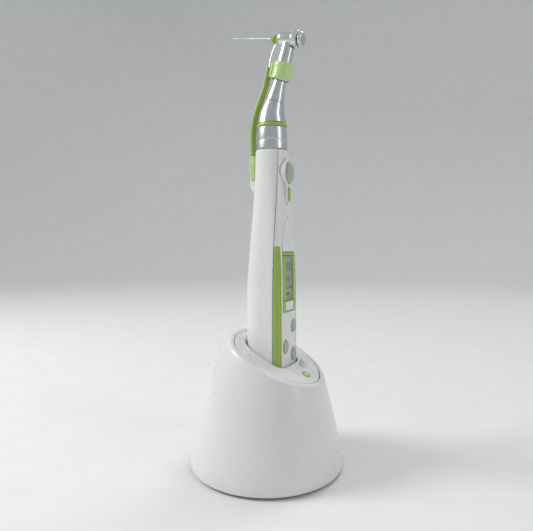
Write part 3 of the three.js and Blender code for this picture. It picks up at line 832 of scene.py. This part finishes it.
# ---- Contra-angle ----
def build_contra_angle():
    sleeve = rounded([(6.1, 150.3), (7.5, 150.3), (7.55, 150.9), (7.45, 154.2), (7.3, 154.4), (7.3, 154.9),
                      (7.42, 155.1), (7.2, 160.6), (7.0, 161.0), (3.2, 161.0), (3.2, 160.2), (6.1, 160.0),
                      (6.1, 150.3)], 0.15, 3)
    piece("sleeve_skin", *turned(sleeve, 96, at_handle), STEEL, "contra_angle", "satin_steel",
          ["contra_sleeve"])
    ring = rounded([(3.2, 161.15), (7.1, 161.15), (7.28, 161.5), (7.3, 162.1), (7.12, 162.75), (3.2, 162.75),
                    (3.2, 161.15)], 0.15, 3)
    piece("colour_ring_skin", *turned(ring, 96, at_handle), GREEN, "contra_angle", "green_accent",
          ["colour_ring"])

    # Centre x, centre z, tilt and radius up the cone, which bends with the neck.
    upper = on_neck((0, 0, 5.8))
    stations = smooth_line([
        (HANDLE_X, 163.1, 0.0, 7.05), (HANDLE_X, 165.8, NECK_TILT * 0.15, 6.65),
        (HANDLE_X + 0.35, 169.2, NECK_TILT * 0.6, 5.85), (upper[0], upper[2], NECK_TILT, 4.65)], 30)
    first, last = stations[0], stations[-1]
    rings = [bent_ring(first + (0, -0.2, 0, -0.25))] + [bent_ring(station) for station in stations]
    rings += [bent_ring(last + (0.03, 0.12, 0, -0.06)), bent_ring(last + (0.06, 0.2, 0, -0.3))]
    piece("cone_skin", *capped(rings), STEEL, "contra_angle", "satin_steel", ["contra_cone"])

    waist = smooth_line([(4.5, 6.15), (4.05, 9), (3.45, 12.2), (3.1, 15.6)], 26)
    waist = [(0, 6.05), (4.2, 6.05)] + [tuple(p) for p in waist] + [(2.8, 15.68), (0, 15.68)]
    piece("lower_neck_skin", *turned(waist, 72, on_neck), STEEL, "contra_angle", "satin_steel",
          ["neck_lower"])
    build_head()


def bent_ring(station):
    """A round section of the cone, at a centre x and z, with a tilt and a radius."""
    x, z, tilt, radius = station
    sides = 72
    ring = []
    for i in range(sides):
        turn = 2 * math.pi * i / sides
        across = radius * math.cos(turn)
        ring.append((x + across * math.cos(tilt), radius * math.sin(turn), z - across * math.sin(tilt)))
    return ring


def build_head():
    neck = smooth_line([(3.2, 15.95), (3.6, 18), (3.5, 24), (3.25, 30), (3.1, 34)], 30)
    neck = [(0, 15.85), (3.0, 15.85)] + [tuple(p) for p in neck] + [(0, 34.2)]
    house = rounded([(2.3, -1.85), (3.75, -1.85), (3.75, 3.9), (3.45, 4.8), (2.6, 5.3), (2.1, 5.3),
                     (2.1, 4.2), (2.3, 4.0), (2.3, -1.85)], 0.45, 5)
    housing = piece("head_housing_skin", *turned(house, 96, on_head), STEEL, "contra_angle", "satin_steel",
                    ["head_housing"])
    stem = piece("head_stem", *turned(neck, 72, on_neck), STEEL, None, None)
    # The stem keeps clear of the head's room and of the cap ring behind it.
    cleared = []
    for radius, back, front in ((3.0, -1.8, 4.2), (4.6, -9, -1.9)):
        room = [(0, back), (radius, back), (radius, front), (0, front)]
        cleared.append(piece("head_room", *turned(room, 48, on_head), STEEL, None, None))
    combine(stem, cleared, "DIFFERENCE")
    combine(housing, [stem], "UNION")

    def knurl(turn, z):
        ribs, depth = 36, 0.022  # around the ring, and as a share of its radius
        wave = abs((turn * ribs / math.pi) % 2 - 1) - 0.5
        return 1 + (depth * wave if -4.25 < z < -2.45 else 0)
    band = [(2.9, -4.8), (3.75, -4.8), (3.98, -4.6), (4.04, -4.4), (4.05, -4.24), (4.05, -3.3), (4.05, -2.46),
            (4.04, -2.3), (3.95, -2.08), (3.6, -2.05), (2.9, -2.05), (2.9, -4.8)]
    piece("cap_ring_knurled", *turned(band, 288, on_head, knurl), STEEL, "contra_angle", "satin_steel",
          ["head_cap_ring"], crease=60)
    cap = rounded([(0, -7.15), (1.7, -7.12), (3.0, -6.95), (3.5, -6.4), (3.5, -5.45), (2.5, -5.3),
                   (2.5, -4.3), (0, -4.3)], 0.35, 5)
    piece("push_cap_skin", *turned(cap, 80, on_head), STEEL, "push_button", "satin_steel",
          ["push_button_cap"])


# ---- File ----
def build_file():
    shank = rounded([(0, -1.5), (1.12, -1.5), (1.12, 5.7), (1.5, 5.85), (1.5, 6.2), (1.38, 6.25),
                     (1.38, 6.45), (1.5, 6.5), (1.5, 6.95), (1.3, 7.1), (0.7, 7.1), (0.7, 6.0),
                     (0, 6.0)], 0.08, 3)
    piece("file_collar", *turned(shank, 56, on_head), BRASS, "file", "contact_brass", ["file_shank"])

    rows, sides = 260, 24
    root, taper, flutes = 6.1, 10.0, 10.5  # where the blade, its taper and its flutes begin
    rings = []
    for i in range(rows + 1):
        t = i / rows
        z = root + (BLADE_TIP - root) * t
        working = min(1.0, max(0.0, (z - flutes) / 2.0)) * min(1.0, (BLADE_TIP - z) / 0.4 + 0.05)
        radius = 0.62 - 0.47 * max(0.0, (z - taper) / (BLADE_TIP - taper))
        radius *= min(1.0, (BLADE_TIP - z) / 1.2 + 0.08)
        twist = 2.0 * math.pi * (z - flutes) / (3.6 - 1.6 * t)
        ring = []
        for k in range(sides):
            turn = 2 * math.pi * k / sides
            flute = 0.5 + 0.5 * math.cos(2 * (turn - twist))
            reach = radius * (1 - 0.42 * working * flute ** 1.5)
            ring.append(on_head((reach * math.cos(turn), reach * math.sin(turn), z)))
        rings.append(ring)
    piece("file_blade_fluted", *capped(rings), FILE_STEEL, "file", "satin_steel", ["file_blade"], crease=50)

    def notch(turn, _):
        return 1 - 0.16 * max(0.0, 1 - abs((turn - math.pi / 2) / 0.22))
    ring = rounded([(0.66, 7.35), (1.62, 7.35), (1.8, 7.6), (1.8, 9.0), (1.6, 9.25), (0.66, 9.25),
                    (0.66, 7.35)], 0.2)
    piece("stopper_ring", *turned(ring, 64, on_head, notch), SILICONE, "stopper", "stopper_silicone",
          ["file_stopper"])


# ---- Electrode ----
def swept(path, section, ends=0.5):
    """A band along a path in the X, Z plane: section gives across and sideways offsets. Ends pull in."""
    line = smooth_line(path, 12 * len(path))
    rings = []
    for i, at in enumerate(line):
        ahead = line[min(i + 1, len(line) - 1)] - line[max(i - 1, 0)]
        ahead = ahead / np.linalg.norm(ahead)
        across = np.array([ahead[1], -ahead[0]])
        grow = 1.0 if 0 < i < len(line) - 1 else 1 - ends
        rings.append([(at[0] + across[0] * u * grow, v * grow, at[1] + across[1] * u * grow)
                      for u, v in section])
    return capped(rings)


def soft_rectangle(half_u, half_v, corner):
    """A rectangle about the origin with round corners."""
    line = []
    for k, (su, sv) in enumerate(((1, 1), (-1, 1), (-1, -1), (1, -1))):
        for a in np.linspace(0, math.pi / 2, 5):
            turn = a + k * math.pi / 2
            line.append((su * (half_u - corner) + corner * math.cos(turn),
                         sv * (half_v - corner) + corner * math.sin(turn)))
    return line


def build_electrode():
    path = [(-7.25, 148.6), (-7.35, 154), (-7.3, 160), (-6.3, 166.6), (-4.0, 173.2), (-1.5, 179.0),
            (0.1, 183.7), (1.15, 188.2), (1.75, 190.8)]
    band = swept(path, soft_rectangle(0.78, 2.0, 0.5))
    piece("electrode_band", *band, GREEN, "contra_angle", "green_accent", ["electrode_strap"])

    plug_line = [(-6.75, 136.5), (-6.75, 139), (-6.75, 143), (-6.75, 146.5), (-6.9, 148.35)]
    piece("plug_body", *swept(plug_line, soft_rectangle(1.5, 2.35, 0.7), 0.12), PALE, "contra_angle",
          "pale_green", ["electrode_plug"])
    for i in range(4):
        z = 138.6 + i * 1.5
        rib = swept([(-6.75, z), (-6.75, z + 0.3), (-6.75, z + 0.6)], soft_rectangle(1.62, 2.5, 0.75), 0.06)
        piece(f"plug_rib_{i + 1}", *rib, PALE, "contra_angle", "pale_green")

    root, bottom, top = -4.9, 128.6, 136.2  # where the fairing leaves the handle's back, and its ends
    fairing = []
    for t in np.linspace(0, 1, 18):
        z = bottom + (top - bottom) * t
        reach = 0.25 + 2.95 * math.sin(math.pi / 2 * min(1, t * 1.15)) ** 0.8
        half = 0.7 + 1.6 * min(1, t * 1.4) ** 0.6
        section = soft_rectangle(reach / 2, half, min(0.6, reach / 2.1, half / 2.1))
        fairing.append([(root - reach / 2 + u, v, z) for u, v in section])
    piece("socket_fairing", *capped(fairing), WHITE, "handpiece", "white_shell", ["electrode_socket"])

    clasp = rounded([(4.0, 16.3), (4.5, 16.3), (4.7, 16.6), (4.7, 18.4), (4.5, 18.6), (4.5, 21.7),
                     (4.7, 21.9), (4.7, 23.7), (4.5, 24.0), (4.0, 24.0), (4.0, 16.3)], 0.15, 3)
    piece("clip_ring", *turned(clasp, 72, on_neck), PALE, "contra_angle", "pale_green", ["electrode_clip"])
    pad_section = soft_rectangle(0.75, 2.2, 0.45)
    pad = [[on_neck((-5.0 + u * g, v * g, z)) for u, v in pad_section]
           for z, g in ((16.8, 0.85), (17.05, 1.0), (23.25, 1.0), (23.5, 0.85))]
    piece("clip_pad", *capped(pad), PALE, "contra_angle", "pale_green")
    rivet = rounded([(0, -0.4), (0.9, -0.4), (0.9, 0.05), (0.6, 0.3), (0, 0.34)], 0.15)
    for i, z in enumerate((18.4, 21.7)):
        vertices, faces = turned(rivet, 32, lambda p: on_neck((-p[2] - 5.75, p[1], p[0] + z)))
        piece(f"clip_rivet_{i + 1}", vertices, faces, STEEL, "contra_angle", "satin_steel")

    rows, tip_rows = 60, 3  # along the wire, and in its rounded tip
    wire = smooth_line([(1.85, 190.6), (1.95, 191.6), (2.3, 194.5), (3.6, 198.2), (5.0, 200.6),
                        (5.9, 201.6)], rows)
    last = rows - 1
    turns = np.linspace(0, 2 * math.pi, 20, endpoint=False)
    rings = []
    for i, at in enumerate(wire):
        ahead = wire[min(i + 1, last)] - wire[max(i - 1, 0)]
        ahead = ahead / np.linalg.norm(ahead)
        radius = 0.45 * (1 if i < rows - tip_rows else (last - i) / tip_rows * 0.7 + 0.3)
        rings.append([(at[0] + ahead[1] * radius * math.cos(a), radius * math.sin(a),
                       at[1] - ahead[0] * radius * math.cos(a)) for a in turns])
    piece("electrode_wire", *capped(rings), STEEL, "contra_angle", "satin_steel", ["electrode_finger"])


# ---- CAD nodes that stay ----
KEPT = {
    DARK: ["dock_well_liner", "dock_base_plate", "charge_pin_holder", "display_module"],
    WHITE: ["handle_end_cap"],
    BOARD: ["dock_circuit_board", "control_board"],
    WRAP: ["battery_cell"],
    BRASS: ["charge_pin_left", "charge_pin_right", "charge_contact_left", "charge_contact_right"],
    STEEL: ["dock_ballast_plate", "drive_motor", "gearhead", "nose_collar", "output_shaft",
            "chuck_bearing_front", "chuck_bearing_rear", "chuck_with_crown_gear", "rear_drive_shaft",
            "neck_drive_shaft"],
}


# ---- Studio ----
def area_light(name, place, size, power, color=(1, 1, 1)):
    """A rectangular light aimed at the middle of the object. Places and sizes are in metres."""
    data = bpy.data.lights.new(name, "AREA")
    data.shape = "RECTANGLE"
    data.size, data.size_y = size
    data.energy = power
    data.color = color
    light = bpy.data.objects.new(name, data)
    bpy.context.scene.collection.objects.link(light)
    light.location = place
    light.rotation_euler = (Vector((0, 0, 0.1)) - Vector(place)).to_track_quat("-Z", "Y").to_euler()


def build_floor():
    """A pale floor that curves up into a wall all round, well outside every view's camera."""
    flat, curve, rise = 1.1, 0.6, 1.6  # metres: flat radius, radius of the curve, height of the wall
    profile = [(0.001, 0.0), (flat * 0.5, 0.0), (flat, 0.0)]
    profile += [(flat + curve * math.sin(a), curve * (1 - math.cos(a)))
                for a in np.linspace(0.1, math.pi / 2, 16)]
    profile.append((flat + curve, rise))
    sides = 96
    vertices = [(r * math.cos(2 * math.pi * i / sides), r * math.sin(2 * math.pi * i / sides), z)
                for r, z in profile for i in range(sides)]
    faces = grid_faces(len(profile), sides) + [tuple(range(sides))]
    mesh = bpy.data.meshes.new("floor")
    mesh.from_pydata(vertices, [], faces)
    for polygon in mesh.polygons:
        polygon.use_smooth = len(polygon.vertices) == 4
    floor = bpy.data.objects.new("floor", mesh)
    bpy.context.scene.collection.objects.link(floor)
    material, nodes, links, principled = shader("pale_floor", (0.78, 0.785, 0.785), 0.7)
    paper = noise(nodes, links, 40.0, 4.0)
    tone = tint(nodes, links, paper, (0.77, 0.775, 0.775), (0.79, 0.795, 0.795))
    links.new(tone, principled.inputs["Base Color"])
    mesh.materials.append(material)


def build_studio():
    bpy.context.scene.view_settings.view_transform = "Standard"
    build_floor()
    world = bpy.data.worlds.new("studio")
    bpy.context.scene.world = world
    world.use_nodes = True
    background = world.node_tree.nodes["Background"]
    background.inputs["Color"].default_value = (0.92, 0.94, 0.96, 1)
    background.inputs["Strength"].default_value = 0.55
    area_light("key", (-0.60, -0.35, 0.60), (0.30, 0.30), 4.6, (1, 0.99, 0.97))
    area_light("side", (0.70, -0.05, 0.42), (0.14, 0.6), 0.7, (0.97, 0.99, 1))
    area_light("back", (0.1, 0.7, 1.2), (0.6, 0.6), 4.0)


build_dock_shell()
build_top_plate()
build_dock_details()
build_handle_shells()
build_display()
build_keys()
build_contra_angle()
build_file()
build_electrode()
for kept_material, kept_nodes in KEPT.items():
    for kept_node in kept_nodes:
        finish_node(kept_node, kept_material)
build_studio()
